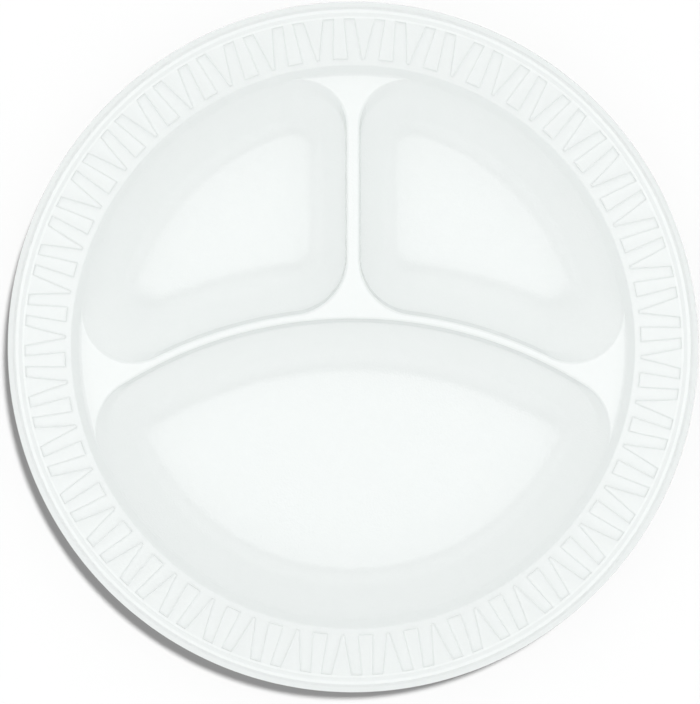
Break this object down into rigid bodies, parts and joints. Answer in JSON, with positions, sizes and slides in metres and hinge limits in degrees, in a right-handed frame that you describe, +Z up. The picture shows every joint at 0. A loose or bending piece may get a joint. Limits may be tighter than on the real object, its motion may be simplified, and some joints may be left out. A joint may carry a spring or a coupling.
{
  "type": "foam compartment plate",
  "caption": "Round disposable foam plate with one large and two small compartments, flat-topped ribs, a fluted flange and a turned-down lip.",
  "frame": {"origin": "on the table plane, under the middle of the plate", "axes": "+Z up out of the plate along its axis, +Y from the large compartment to the two small ones, +X to the right across the straight rib"},
  "size_m": [0.2286, 0.2286, 0.0202],
  "materials": {
    "foam": "white expanded foam sheet with a smooth satin skin"
  },
  "bodies": {
    "root": {"plate": "foam"}
  },
  "joints": []
}
